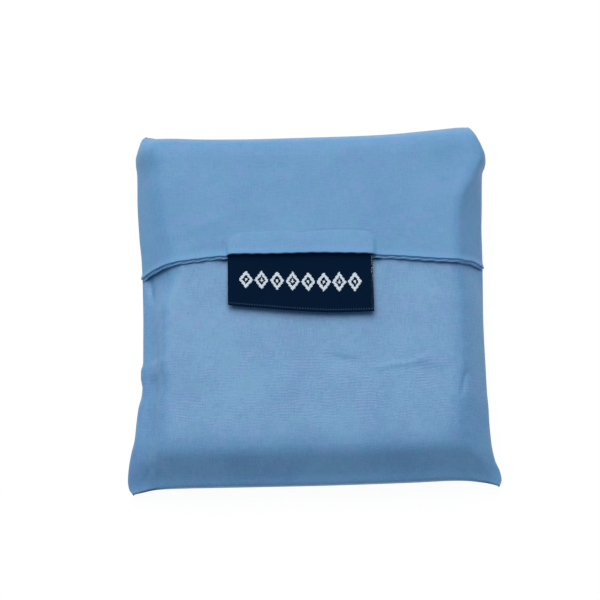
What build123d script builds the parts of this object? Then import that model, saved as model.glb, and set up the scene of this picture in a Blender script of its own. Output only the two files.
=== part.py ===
"""Foldable shopping tote, folded up inside its own hooded pouch. Millimetres, +Z up.

The closed pouch lies on its back on Z = 0 with the hood's fold towards +Y. The origin is under
the middle of the whole pouch. The side seams run round the pouch at one height, the back panel
is the tray below them, the front panel and the hood are the covers above them. Each layer of
cloth is the space between the same pillow form drawn in by two depths, so that every layer fits
the next one. The tote inside is a strip folded to and fro, shown with its folds drawn open a
little and its lengthwise folds pressed together as one sheet.
"""

import os

from build123d import *

# ---- driving dimensions: the pouch ----
pouch_width = 108.0  # across the sides, where they are straight
pouch_length = 115.0  # from the bottom fold to the top fold
pouch_thickness = 19.0  # back of the closed pouch to the top of the hood
seam_height = 8.0  # of the side seams above the back
cloth = 0.4  # taffeta with its coating, as thick as it stands in a seam
front_slope = 6.5  # the front falls to the seams over this distance
shoulder_slope = 2.6  # and lies this far inside the seams at its rounded shoulder
shoulder_fall = 4.0  # which is this far below the front face
back_slope = 5.0  # the back rises to the seams over this distance
corner_softness = 1.6  # bevel of the front and back faces' corners

# ---- the pouch's corners ----
ear_flare = 5.5  # each bottom corner stands out past the side
ear_drop = 1.5  # and past the bottom fold
ear_inset = 3.0  # the bottom fold is straight up to here from the side
ear_root_flare = 2.5  # stand-out where the corner runs into the side
ear_height = 11.0  # length of the corner up the side
waist_height = 40.0  # the side is straight from here
bulge_length = 24.0  # up to this far from the top fold
corner_bulge = 2.0  # stand-out of the top corner's bulge
bulge_drop = 10.0  # the bulge lies this far below the top fold
top_corner_inset = 3.5  # the top fold is straight up to here from the side

# ---- the hood, its label and the pocket under it ----
hood_depth = 42.5  # from the top fold to the hood's hem
hem_width = 3.0  # narrow turned hem of the hood
pocket_mouth_depth = 18.0  # from the top fold to the mouth of the front pocket
pocket_hem_width = 6.0  # wider turned hem of the pocket's mouth
label_width = 46.0  # woven ribbon
label_offset = -4.0  # sewn this far to one side of the middle
label_drop = 17.0  # hangs this far below the hood's hem
label_tail_length = 8.0  # sewn on behind the hem
label_tail_corner = 2.5  # radius of the turned-in corners
ribbon = 0.25  # one ply of the label
label_thickness = 0.6  # both plies and the air in the fold
label_hinge_offset = 2.0  # the label starts to bend this far below the hem

# ---- the seams ----
seam_allowance = 3.0  # folded in beside the side seams
seam_stack = 1.0  # height of the folded allowances
overlock_width = 0.6  # thread along the allowances' edge
thread_proud = 0.12  # a stitch stands this far out of the cloth
thread_width = 0.4
stitch_length = 3.2
stitch_pitch = 4.0
hem_stitch_inset = 1.0  # from the hood's edge to its stitches
pocket_stitch_inset = 5.0  # from the pocket's edge to its stitches

# ---- the folded tote ----
pack_side_room = 7.0  # from each side of the pouch to the pack
pack_end_room = 8.5  # from the top and bottom folds to the pack
pack_runs = 6  # layers of the folded strip
sheet = 0.6  # one wall of the tote, four times folded lengthwise and pressed
sheet_gap = 0.2  # between the tote's two walls
tote_seam_width = 2.0  # overlocked sides of the tote
tote_mouth_hem_width = 9.0
tote_base_seam_width = 3.0
handle_width = 25.0
handle_spacing = 44.0  # between the middles of the two handles
strap = 0.45  # thickness of a handle
strap_gap = 0.15  # between the folds of a handle
handle_end_gap = 5.0  # a folded handle ends this far inside the pack

# ---- clearances ----
layer_gap = 0.2  # between pieces that lie loose on each other
pack_gap = 0.3  # between the tote and the pouch
hood_rim_gap = 0.2  # under the hood's rim, where it meets the back panel
hood_side_gap = 0.5  # between the hood's edge and the front panel's flange
label_gap = 0.15  # each side of the label's bend

# ---- worked out from these ----
half_width = pouch_width / 2
top_y = (pouch_length + ear_drop) / 2
bottom_y = top_y - pouch_length
hem_y = top_y - hood_depth
mouth_y = top_y - pocket_mouth_depth
label_hinge_y = hem_y - label_hinge_offset
label_end_y = hem_y - label_drop

# depths below the closed pouch's outside, layer by layer
hem_depth = cloth
tail_depth = hem_depth + cloth
pocket_depth = tail_depth + label_thickness + layer_gap
pocket_hem_depth = pocket_depth + cloth
seam_inner_depth = pocket_depth + seam_allowance

label_top_z = pouch_thickness - tail_depth
label_bottom_z = label_top_z - label_thickness
handles_top_z = pouch_thickness - pocket_hem_depth - cloth - pack_gap

# reaches past the whole pouch, for the blocks that cut the layers
reach = pouch_width + pouch_length


def seam_line(depth):
    """Corners of the pouch at its side seams, drawn in by depth, with the ears at the bottom."""
    side = half_width - depth
    low = bottom_y + depth
    high = top_y - depth
    right = [
        (side - ear_inset, low),
        (side + ear_flare, low - ear_drop),
        (side + ear_root_flare, low + ear_height),
        (side, low + waist_height),
        (side, high - bulge_length),
        (side + corner_bulge, high - bulge_drop),
        (side - top_corner_inset, high),
    ]
    return right + [(-x, y) for x, y in reversed(right)]


def face_line(slope, depth):
    """Corners of the front or back face, which lies inside the seam line by slope."""
    side = half_width - slope - depth
    low = bottom_y + slope + depth
    high = top_y - slope - depth
    right = [
        (side - corner_softness, low),
        (side, low + corner_softness),
        (side, low + ear_height),
        (side, low + waist_height),
        (side, high - bulge_length),
        (side, high - corner_softness),
        (side - corner_softness, high),
    ]
    return right + [(-x, y) for x, y in reversed(right)]


def block(low_points, low_z, high_points, high_z, mode):
    """Adds, cuts or keeps the straight-sided block between two outlines."""
    with BuildSketch(Plane.XY.offset(low_z)) as low:
        with BuildLine():
            Polyline(*low_points, close=True)
        make_face()
    with BuildSketch(Plane.XY.offset(high_z)) as high:
        with BuildLine():
            Polyline(*high_points, close=True)
        make_face()
    loft(sections=[low.sketch.face(), high.sketch.face()], ruled=True, mode=mode)


def front_form(depth, mode=Mode.ADD):
    """The pouch above its side seams, drawn in by depth: a steep side and a rounded shoulder."""
    face_z = pouch_thickness - depth
    shoulder_z = face_z - shoulder_fall
    shoulder_line = face_line(shoulder_slope, depth)
    with BuildPart(mode=Mode.PRIVATE) as form:
        block(seam_line(depth), seam_height, shoulder_line, shoulder_z, Mode.ADD)
        block(shoulder_line, shoulder_z, face_line(front_slope, depth), face_z, Mode.ADD)
    add(form.part, mode=mode)


def back_form(depth, mode=Mode.ADD):
    """The pouch below its side seams, drawn in by depth."""
    block(face_line(back_slope, depth), depth, seam_line(depth), seam_height, mode)


def keep_between(low_y, high_y, low_z=-pouch_thickness, high_z=2 * pouch_thickness):
    """Keeps what lies between two distances along the pouch and two heights."""
    middle = (0, (low_y + high_y) / 2, (low_z + high_z) / 2)
    with Locations(middle):
        Box(reach, high_y - low_y, high_z - low_z, mode=Mode.INTERSECT)


def keep_side(inner_x, outer_x, side):
    """Keeps one side of the pouch, from inner_x to outer_x, on the side of side = 1 or -1."""
    with Locations((side * (inner_x + outer_x) / 2, 0, 0)):
        Box(outer_x - inner_x, reach, reach, mode=Mode.INTERSECT)


def stitch_row(row_y, half_length):
    """Blocks for a row of stitches across the pouch, as many as fit in the length."""
    count = int(2 * half_length // stitch_pitch)
    with Locations((0, row_y, pouch_thickness)):
        with GridLocations(stitch_pitch, 1, count, 1):
            Box(stitch_length, thread_width, 2 * pouch_thickness)


def concertina(heights, start, finish, low_turn, high_turn, heading):
    """Line that runs to and fro through the heights, with a round turn at each end."""
    y = start
    for index, height in enumerate(heights):
        last = index == len(heights) - 1
        turn = high_turn if heading > 0 else low_turn
        target = finish if last else turn
        Line((y, height), (target, height))
        if not last:
            rise = (heights[index + 1] - height) / 2
            ThreePointArc(
                (target, height),
                (target + heading * rise, height + rise),
                (target, heights[index + 1]),
            )
            y = target
            heading = -heading


os.makedirs("parts", exist_ok=True)


def finish_piece(builder, name):
    """Labels a finished piece and writes its file."""
    builder.part.label = name
    export_step(builder.part, f"parts/{name}.step")


# ======================= the pouch =======================

# ---- back panel: the tray that the tote lies in, up to the side seams ----
with BuildPart() as pouch_back_panel:
    back_form(0)
    back_form(cloth, mode=Mode.SUBTRACT)
finish_piece(pouch_back_panel, "pouch_back_panel")


# ---- front panel: the pocket, with the flange that joins it to the back at the seams ----
with BuildPart() as pouch_front_panel:
    front_form(0)
    keep_between(bottom_y - ear_drop, hem_y - hood_side_gap, seam_height, seam_height + cloth)
    front_form(pocket_depth)
    front_form(pocket_depth + cloth, mode=Mode.SUBTRACT)
    keep_between(bottom_y - ear_drop, mouth_y)
finish_piece(pouch_front_panel, "pouch_front_panel")


# ---- pocket hem: the front panel's mouth, turned in and stitched ----
with BuildPart() as pocket_hem:
    front_form(pocket_hem_depth)
    front_form(pocket_hem_depth + cloth, mode=Mode.SUBTRACT)
    keep_between(mouth_y - pocket_hem_width, mouth_y)
finish_piece(pocket_hem, "pocket_hem")

with BuildPart() as pocket_hem_stitching:
    stitch_row(mouth_y - pocket_stitch_inset, half_width - pocket_depth)
    front_form(pocket_depth - thread_proud, mode=Mode.INTERSECT)
    front_form(pocket_depth, mode=Mode.SUBTRACT)
finish_piece(pocket_hem_stitching, "pocket_hem_stitching")


# ---- side seams: the folded-in allowances, overlocked along their edge ----
def seam_strip(outer_depth, inner_depth, side):
    """One side of a band that lies just under the seam line, between two depths."""
    back_form(cloth)
    keep_between(-reach, reach, seam_height - seam_stack, seam_height)
    if outer_depth > cloth:
        block(
            seam_line(outer_depth), seam_height - seam_stack,
            seam_line(outer_depth), seam_height, Mode.INTERSECT,
        )
    block(
        seam_line(inner_depth), seam_height - seam_stack,
        seam_line(inner_depth), seam_height, Mode.SUBTRACT,
    )
    keep_side(half_width - seam_inner_depth - seam_allowance, reach, side)


for name, side in (("left", -1), ("right", 1)):
    with BuildPart() as side_seam:
        seam_strip(cloth, seam_inner_depth, side)
    finish_piece(side_seam, f"{name}_side_seam")

    with BuildPart() as seam_overlock:
        seam_strip(seam_inner_depth, seam_inner_depth + overlock_width, side)
    finish_piece(seam_overlock, f"{name}_seam_overlock")


# ======================= the hood =======================

# ---- hood: folded over the pocket from the top fold ----
with BuildPart() as pouch_hood:
    front_form(0)
    front_form(cloth, mode=Mode.SUBTRACT)
    keep_between(hem_y, top_y, seam_height + hood_rim_gap, pouch_thickness)
finish_piece(pouch_hood, "pouch_hood")


# ---- hood hem: a narrow turned hem, stitched close to the edge ----
with BuildPart() as hood_hem:
    front_form(hem_depth)
    front_form(tail_depth, mode=Mode.SUBTRACT)
    keep_between(hem_y, hem_y + hem_width, seam_height + hood_rim_gap, pouch_thickness)
finish_piece(hood_hem, "hood_hem")

with BuildPart() as hood_hem_stitching:
    stitch_row(hem_y + hem_stitch_inset, half_width)
    front_form(-thread_proud, mode=Mode.INTERSECT)
    front_form(0, mode=Mode.SUBTRACT)
finish_piece(hood_hem_stitching, "hood_hem_stitching")


# ======================= the label =======================

# ---- label tail: the ribbon's two ends, sewn on behind the hood's hem ----
with BuildPart() as label_tail:
    tail_length = label_tail_length + label_hinge_offset - label_gap
    with BuildSketch(Plane.XY.offset(label_bottom_z)):
        with Locations((label_offset, hem_y + label_tail_length - tail_length / 2)):
            Rectangle(label_width, tail_length)
    extrude(amount=label_thickness)
    fillet(label_tail.edges().filter_by(Axis.Z).group_by(Axis.Y)[-1], radius=label_tail_corner)
finish_piece(label_tail, "label_tail")


# ---- woven label: the ribbon's free loop, folded at its lower end ----
with BuildPart() as woven_label:
    with BuildSketch(Plane.YZ.offset(label_offset - label_width / 2)):
        with BuildLine() as loop:
            concertina(
                [label_bottom_z + ribbon / 2, label_top_z - ribbon / 2],
                label_hinge_y - label_gap,
                label_hinge_y - label_gap,
                label_end_y + label_thickness / 2,
                label_hinge_y,
                -1,
            )
        trace(loop.edges(), line_width=ribbon)
    extrude(amount=label_width)
finish_piece(woven_label, "woven_label")


# ======================= the tote, folded up =======================

pack_width = pouch_width - 2 * pack_side_room
pack_length = pouch_length - 2 * pack_end_room
pack_base_z = cloth + pack_gap
handle_pitch = strap + strap_gap
front_handle_runs = 3
handles_height = (front_handle_runs - 1) * handle_pitch + strap
pack_top_z = handles_top_z - handles_height - layer_gap
pair = 2 * sheet + sheet_gap
run_pitch = (pack_top_z - pack_base_z - pair) / (pack_runs - 1)
pack_middle_y = (bottom_y + top_y) / 2
outer_turn = run_pitch / 2 + pair / 2
high_turn_y = pack_middle_y + pack_length / 2 - outer_turn
low_turn_y = pack_middle_y - pack_length / 2 + outer_turn
mouth_hem_y = high_turn_y - tote_mouth_hem_width
panel_half_width = pack_width / 2 - tote_seam_width


def tote_strip(lateral, thickness, start, finish, left_x, right_x):
    """A layer of the folded tote, lateral off the middle of the pair of walls."""
    heights = [
        pack_base_z + pair / 2 + run * run_pitch + lateral * (-1) ** run
        for run in range(pack_runs)
    ]
    with BuildSketch(Plane.YZ.offset(left_x)) as section:
        with BuildLine() as path:
            concertina(heights, start, finish, low_turn_y, high_turn_y, -1)
        trace(path.edges(), line_width=thickness)
    extrude(section.sketch, amount=right_x - left_x)


# ---- the two walls, nested in each other; the front wall is outermost where the pack ends ----
wall_shift = (sheet + sheet_gap) / 2
for name, lateral in (("front", -wall_shift), ("back", wall_shift)):
    with BuildPart() as tote_panel:
        tote_strip(
            lateral, sheet, high_turn_y - tote_base_seam_width, mouth_hem_y,
            -panel_half_width, panel_half_width,
        )
    finish_piece(tote_panel, f"tote_{name}_panel")

# ---- side seams: both walls sewn together along their edges ----
for name, left_x, right_x in (
    ("left", -pack_width / 2, -panel_half_width),
    ("right", panel_half_width, pack_width / 2),
):
    with BuildPart() as tote_side_seam:
        tote_strip(0, pair, high_turn_y, high_turn_y, left_x, right_x)
    finish_piece(tote_side_seam, f"tote_{name}_side_seam")

# ---- base seam: at the strip's first end ----
with BuildPart() as tote_base_seam:
    with Locations((0, high_turn_y, pack_base_z)):
        Box(
            2 * panel_half_width, tote_base_seam_width, pair,
            align=(Align.CENTER, Align.MAX, Align.MIN),
        )
finish_piece(tote_base_seam, "tote_base_seam")

# ---- mouth hems: at the strip's last end, one on each wall ----
for name, lower_z in (("front", pack_top_z - sheet), ("back", pack_top_z - pair)):
    with BuildPart() as mouth_hem:
        with Locations((0, high_turn_y, lower_z)):
            Box(
                2 * panel_half_width, tote_mouth_hem_width, sheet,
                align=(Align.CENTER, Align.MAX, Align.MIN),
            )
    finish_piece(mouth_hem, f"tote_{name}_mouth_hem")

with BuildPart() as mouth_hem_stitching:
    hem_stitch_count = int(2 * panel_half_width // stitch_pitch)
    with Locations((0, mouth_hem_y + hem_stitch_inset, pack_top_z)):
        with GridLocations(stitch_pitch, 1, hem_stitch_count, 1):
            Box(
                stitch_length, thread_width, thread_proud,
                align=(Align.CENTER, Align.CENTER, Align.MIN),
            )
finish_piece(mouth_hem_stitching, "tote_mouth_hem_stitching")


# ---- handles: one sewn on each wall's hem, both folded to and fro on top of the pack ----
def handle(heights, middle_x):
    """A strap that starts on its hem, turns back over it and ends on top of itself."""
    handle_high_y = high_turn_y
    handle_low_y = low_turn_y + handle_end_gap
    end_y = handle_high_y - handle_end_gap if len(heights) % 2 else handle_low_y
    with BuildSketch(Plane.YZ.offset(middle_x - handle_width / 2)) as section:
        with BuildLine() as path:
            concertina(heights, mouth_hem_y, end_y, handle_low_y, handle_high_y, 1)
        trace(path.edges(), line_width=strap)
    extrude(section.sketch, amount=handle_width)


first_strap_z = pack_top_z + layer_gap + strap / 2
strap_levels = [first_strap_z + level * handle_pitch for level in range(front_handle_runs)]
with BuildPart() as front_handle:
    handle(strap_levels, -handle_spacing / 2)
finish_piece(front_handle, "tote_front_handle")

under_hem_z = pack_top_z - pair - layer_gap - strap / 2
with BuildPart() as back_handle:
    handle([under_hem_z] + strap_levels[:-1], handle_spacing / 2)
finish_piece(back_handle, "tote_back_handle")
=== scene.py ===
import bpy
import numpy as np
from math import pi, radians
from mathutils import Matrix, Vector


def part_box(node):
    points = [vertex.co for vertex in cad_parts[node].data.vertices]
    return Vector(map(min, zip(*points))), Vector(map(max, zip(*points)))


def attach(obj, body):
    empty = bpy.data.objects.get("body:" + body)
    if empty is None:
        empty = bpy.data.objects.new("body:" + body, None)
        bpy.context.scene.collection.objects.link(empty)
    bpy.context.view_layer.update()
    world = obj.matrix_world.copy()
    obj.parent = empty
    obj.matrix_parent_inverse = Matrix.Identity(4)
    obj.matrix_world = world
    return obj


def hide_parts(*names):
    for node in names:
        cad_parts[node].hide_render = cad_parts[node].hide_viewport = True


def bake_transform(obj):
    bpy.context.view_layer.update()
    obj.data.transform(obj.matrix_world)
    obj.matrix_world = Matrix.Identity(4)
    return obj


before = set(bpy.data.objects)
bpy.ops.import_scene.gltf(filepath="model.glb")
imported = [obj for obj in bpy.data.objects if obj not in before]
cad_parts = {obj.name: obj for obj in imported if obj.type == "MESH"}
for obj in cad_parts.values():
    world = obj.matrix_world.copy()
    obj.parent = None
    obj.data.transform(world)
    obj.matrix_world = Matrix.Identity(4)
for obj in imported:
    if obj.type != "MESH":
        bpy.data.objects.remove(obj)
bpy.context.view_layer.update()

# ---------------------------------------------------------------------------
# The tote's two walls. Each is woven polyester taffeta, folded lengthwise in four and pressed,
# and both are then folded to and fro in six layers. The lengthwise folds are drawn as one sheet.
# ---------------------------------------------------------------------------
# Satin-woven filament polyester, piece-dyed dusty blue and calendered: smooth, with a low gloss,
# a fine grain of threads, and soft clouds where handling has moved them.
taffeta_shade = "#6394c4"
taffeta_light = "#70a3cf"
taffeta_violet = "#799ace"
taffeta_green = "#65a0c3"
thread_width = 0.42  # mm; the real threads are 0.12 mm apart, drawn coarser so that they show
thread_run = 3.5  # mm along a thread before its thickness changes
cloud_size = 16.0  # mm
hue_size = 5.0  # mm
ripple_spacing = 1.0  # mm between the fine ripples of cloth drawn tight
wave_repeat = 0.314  # a wave texture's bands repeat over this much of its scaled coordinate
mean_tone = 1.6  # of the grain, weave and clouds added up


def linear(hex_colour):
    """An sRGB hex colour as a linear RGBA value."""
    parts = [int(hex_colour[k : k + 2], 16) / 255 for k in (1, 3, 5)]
    return [c / 12.92 if c <= 0.04045 else ((c + 0.055) / 1.055) ** 2.4 for c in parts] + [1]


def add(tree, kind, inputs=(), **settings):
    """Adds a node with its settings, a shader node where its kind has no prefix.

    Its inputs come by name, or in order. Each takes a plain value, another node's socket, or a
    node, for its first output.
    """
    made = tree.nodes.new(kind if "Node" in kind else "ShaderNode" + kind)
    for name, value in settings.items():
        setattr(made, name, value)
    for name, value in inputs.items() if isinstance(inputs, dict) else enumerate(inputs):
        if isinstance(value, bpy.types.Node):
            value = next(socket for socket in value.outputs if socket.enabled)
        if isinstance(value, bpy.types.NodeSocket):
            tree.links.new(value, made.inputs[name])
        else:
            made.inputs[name].default_value = value
    return made


def new_material(name):
    """An empty node material, and its tree."""
    made = bpy.data.materials.new(name)
    made.use_nodes = True
    made.node_tree.nodes.clear()
    return made, made.node_tree


def taffeta(name, shine=0.3, tone_range=0.6, rippled=None):
    """The cloth. Its pattern follows the cut's own coordinates, kept in millimetres.

    The grain runs from the darker to the lighter shade over tone_range: the less, the stronger.
    rippled gives the two heights up the object, in millimetres, between which it ripples.
    """
    made, tree = new_material(name)
    cut = add(tree, "UVMap", uv_map="cut")
    place = add(tree, "TexCoord").outputs["Object"]
    threads = []
    for scale in ((1 / thread_width, 1 / thread_run, 1), (1 / thread_run, 1 / thread_width, 1)):
        drawn = add(tree, "Mapping", {"Vector": cut, "Scale": scale})
        threads.append(add(tree, "TexNoise", {"Vector": drawn, "Scale": 1.0, "Detail": 1.0}))
    weave = add(tree, "Math", threads, operation="ADD")
    grain = add(tree, "TexNoise", {"Vector": cut, "Scale": 1 / thread_width, "Detail": 2.0})
    clouds = add(tree, "TexNoise", {"Vector": place, "Scale": 1000 / cloud_size,
                                    "Detail": 3.0, "Roughness": 0.55})
    tone = add(tree, "Math", (weave, 0.55, clouds), operation="MULTIPLY_ADD")
    tone = add(tree, "Math", (grain, 1.1, tone), operation="MULTIPLY_ADD")
    tone = add(tree, "MapRange", {"Value": tone, "From Min": mean_tone - tone_range / 2,
                                  "From Max": mean_tone + tone_range / 2})
    colour = add(tree, "Mix", {0: tone, 6: linear(taffeta_shade), 7: linear(taffeta_light)},
                 data_type="RGBA")
    hue = add(tree, "TexNoise", {"Vector": place, "Scale": 1000 / hue_size,
                                 "Detail": 4.0, "Roughness": 0.7})
    for tint, first, last in ((taffeta_violet, 0.52, 0.75), (taffeta_green, 0.48, 0.25)):
        share = add(tree, "MapRange", {"Value": hue, "From Min": first, "From Max": last,
                                       "To Max": 0.8})
        colour = add(tree, "Mix", {0: share, 6: colour, 7: linear(tint)}, data_type="RGBA")
    relief = add(tree, "Bump", {"Height": weave, "Distance": 0.00001, "Strength": 0.6})
    relief = add(tree, "Bump", {"Height": grain, "Distance": 0.00008 if rippled else 0.00001,
                                "Strength": 0.6, "Normal": relief})
    if rippled:
        low_edge, high_edge = rippled[0] / 1000, rippled[1] / 1000
        up = add(tree, "SeparateXYZ", (place,)).outputs["Y"]
        above = add(tree, "MapRange", {"Value": up, "From Min": low_edge - 0.005, "From Max": low_edge})
        below = add(tree, "MapRange", {"Value": up, "From Min": high_edge + 0.004,
                                       "From Max": high_edge})
        ripples = add(tree, "TexWave",
                      {"Vector": cut, "Scale": wave_repeat / ripple_spacing, "Distortion": 9.0,
                       "Detail": 3.0, "Detail Scale": 0.5}, bands_direction="Y").outputs["Fac"]
        patches = add(tree, "MapRange", {"Value": hue, "From Min": 0.38, "From Max": 0.58})
        spread = add(tree, "Math", (above, below), operation="MULTIPLY")
        spread = add(tree, "Math", (spread, patches), operation="MULTIPLY")
        ripples = add(tree, "Math", (ripples, spread), operation="MULTIPLY")
        relief = add(tree, "Bump", {"Height": ripples, "Distance": 0.00003, "Normal": relief})
    gloss = add(tree, "MapRange", {"Value": weave, "From Min": 0.6, "From Max": 1.4,
                                   "To Min": 0.52, "To Max": 0.42})
    shader = add(tree, "BsdfPrincipled",
                 {"Base Color": colour, "Roughness": gloss, "Normal": relief, "IOR": 1.5,
                  "Specular IOR Level": shine, "Sheen Weight": 0.06, "Sheen Roughness": 0.4,
                  "Sheen Tint": linear("#cfe0f2")})
    add(tree, "OutputMaterial", {"Surface": shader})
    return made


def place_object(name, data):
    """A new object in the scene, at the origin."""
    made = bpy.data.objects.new(name, data)
    bpy.context.scene.collection.objects.link(made)
    return made


def corners(node):
    """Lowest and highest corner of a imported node, in millimetres."""
    return 1000 * np.array(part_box(node))


def unit(vectors):
    """Vectors made one long."""
    return vectors / np.maximum(np.linalg.norm(vectors, axis=-1, keepdims=True), 1e-9)


def facing(points):
    """Outward directions of a grid of points: rows run along the cloth, columns across it."""
    return unit(np.cross(np.gradient(points, axis=0), np.gradient(points, axis=1)))


def lengths(points, axis):
    """Distance run along a grid's rows or columns."""
    steps = np.linalg.norm(np.diff(points, axis=axis), axis=2)
    run = np.cumsum(steps, axis=axis)
    return np.concatenate([np.zeros_like(np.take(run, [0], axis=axis)), run], axis=axis)


def sheet_of_cloth(name, outer, thickness, material, directions=None, cut=None, joined=""):
    """A closed piece of cloth under a grid of points in millimetres, with softly rounded edges.

    joined names the edges, of start, end, left and right, where another piece carries on.
    """
    rows, columns = outer.shape[:2]
    directions = facing(outer) if directions is None else directions
    if cut is None:
        cut = np.stack([lengths(outer, 1), lengths(outer, 0)], axis=2)
    number = np.arange(rows * columns).reshape(rows, columns)
    rim = np.concatenate([number[0, :-1], number[:-1, -1], number[-1, :0:-1], number[:0:-1, 0]])
    away = np.zeros_like(outer)
    away[0] += unit(outer[0] - outer[1]) * ("start" not in joined)
    away[-1] += unit(outer[-1] - outer[-2]) * ("end" not in joined)
    away[:, 0] += unit(outer[:, 0] - outer[:, 1]) * ("left" not in joined)
    away[:, -1] += unit(outer[:, -1] - outer[:, -2]) * ("right" not in joined)
    flat = outer.reshape(-1, 3)
    face_out = directions.reshape(-1, 3)
    away = away.reshape(-1, 3)[rim]
    middle = flat[rim] - face_out[rim] * thickness / 2 + away * thickness * 0.35
    places = np.concatenate([flat, flat - face_out * thickness, middle]) / 1000
    turned = np.concatenate([face_out, -face_out, unit(away + 1e-6)])
    a, b, c, d = (number[:-1, :-1], number[1:, :-1], number[1:, 1:], number[:-1, 1:])
    top = np.stack([a, b, c, d], axis=2).reshape(-1, 4)
    under = np.stack([a, d, c, b], axis=2).reshape(-1, 4) + rows * columns
    around = 2 * rows * columns + np.arange(len(rim))
    onward = np.roll(around, -1)
    next_rim = np.roll(rim, -1)
    upper = np.stack([rim, next_rim, onward, around], axis=1)
    lower = np.stack([around, onward, next_rim + rows * columns, rim + rows * columns], axis=1)
    mesh = bpy.data.meshes.new(name)
    mesh.from_pydata(places.tolist(), [], np.concatenate([top, under, upper, lower]).tolist())
    mesh.polygons.foreach_set("use_smooth", [True] * len(mesh.polygons))
    flat_cut = cut.reshape(-1, 2)
    cut_of = np.concatenate([flat_cut, flat_cut, flat_cut[rim]])
    corner = np.zeros(len(mesh.loops), int)
    mesh.loops.foreach_get("vertex_index", corner)
    mesh.uv_layers.new(name="cut").data.foreach_set("uv", cut_of[corner].astype(np.float32).ravel())
    mesh.materials.append(material)
    mesh.normals_split_custom_set_from_vertices(turned.tolist())
    return place_object(name, mesh)


def ripple(across, along, size, seed):
    """Smooth chance heights from -1 to 1 over millimetre places, with bumps of the given size."""
    chance = np.random.default_rng(seed).uniform(-1, 1, (64, 64))
    across, along = across / size + 31.5, along / size + 31.5
    i, j = np.floor(across).astype(int), np.floor(along).astype(int)
    s, t = across - i, along - j
    s, t = s * s * (3 - 2 * s), t * t * (3 - 2 * t)
    i, j = i % 63, j % 63
    return ((chance[i, j] * (1 - s) + chance[i + 1, j] * s) * (1 - t)
            + (chance[i, j + 1] * (1 - s) + chance[i + 1, j + 1] * s) * t)


def to_and_fro(heights, start, finish, low_turn, high_turn, heading):
    """Points along a folded strip, seen from the side, with a round turn at each end."""
    line, y = [], start
    for index, height in enumerate(heights):
        last = index == len(heights) - 1
        target = finish if last else (high_turn if heading > 0 else low_turn)
        steps = max(2, int(abs(target - y) / 2))
        line += [(y + (target - y) * k / steps, height) for k in range(steps)]
        if last:
            line.append((target, height))
        else:
            radius = (heights[index + 1] - height) / 2
            angles = np.linspace(-pi / 2, pi / 2, 9)[:-1]
            line += [(target + heading * abs(radius) * np.cos(a), height + radius + radius * np.sin(a))
                     for a in angles]
            y, heading = target, -heading
    return np.array(line)


tote_cloth = taffeta("taffeta_of_the_tote")


def folded_strip(name, line, left_x, right_x, thickness, seed, softness=0.02):
    """The tote's cloth along a side line, from left_x to right_x, its faces a little uneven."""
    across = np.linspace(left_x, right_x, max(3, int((right_x - left_x) / 2) + 1))
    grid = np.empty((len(line), len(across), 3))
    grid[..., 0] = across
    grid[..., 1:] = line[:, None, :]
    out = facing(grid)
    run = np.arange(len(line))[:, None] * 2.0
    grid += out * (thickness / 2 + softness * ripple(grid[..., 0], run, 14, seed))[..., None]
    return sheet_of_cloth(name, grid, thickness, tote_cloth)


def of_pouch(piece, slot, *nodes):
    """Puts a piece of the pouch, or of the tote in it, on the pouch's body, and hides its CAD nodes."""
    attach(piece, "pouch")
    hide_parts(*nodes)


pack_low, pack_high = corners("tote_left_side_seam")
pack_right = corners("tote_right_side_seam")[1][0]
panel_left, panel_right = pack_high[0], corners("tote_right_side_seam")[0][0]
base_low, base_high = corners("tote_base_seam")
pair = base_high[2] - base_low[2]  # both walls and the air between them
hem_low, hem_high = corners("tote_front_mouth_hem")
wall_sheet = hem_high[2] - hem_low[2]
runs = 6
run_pitch = (pack_high[2] - pack_low[2] - pair) / (runs - 1)
turn_reach = run_pitch / 2 + pair / 2
low_turn = pack_low[1] + turn_reach
high_turn = pack_high[1] - turn_reach


def run_heights(lateral):
    """Heights of the strip's runs, for a layer that lies lateral off the middle of the pair."""
    return [pack_low[2] + pair / 2 + k * run_pitch + lateral * (-1) ** k for k in range(runs)]


for wall_name, lateral, seed in (
    ("tote_front_wall", -(pair - wall_sheet) / 2, 11),
    ("tote_back_wall", (pair - wall_sheet) / 2, 12),
):
    line = to_and_fro(run_heights(lateral), base_low[1], hem_low[1], low_turn, high_turn, -1)
    wall = folded_strip(wall_name, line, panel_left, panel_right, wall_sheet, seed, softness=0.03)
    of_pouch(wall, "tote_taffeta", wall_name.replace("wall", "panel"))

# ---------------------------------------------------------------------------
# The tote's side seams and base seam. Both walls' edges are sewn together and overlocked, so
# each is a narrow band as thick as the pair of walls, and it is folded up with them.
# ---------------------------------------------------------------------------
drawn_in = 2.2  # they are drawn in a little where the pocket's walls press on them
for side, left_x, right_x in (("left", pack_low[0] + drawn_in, panel_left + drawn_in),
                              ("right", panel_right - drawn_in, pack_right - drawn_in)):
    line = to_and_fro(run_heights(0), high_turn, high_turn, low_turn, high_turn, -1)
    seam = folded_strip(f"tote_{side}_seam", line, left_x, right_x, pair, seed=13)
    of_pouch(seam, "tote_taffeta", f"tote_{side}_side_seam")

base_z = (base_low[2] + base_high[2]) / 2
line = np.array([(y, base_z) for y in np.linspace(base_high[1], base_low[1], 5)])
seam = folded_strip("tote_base", line, base_low[0], base_high[0], pair, seed=14, softness=0.03)
of_pouch(seam, "tote_taffeta", "tote_base_seam")

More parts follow.
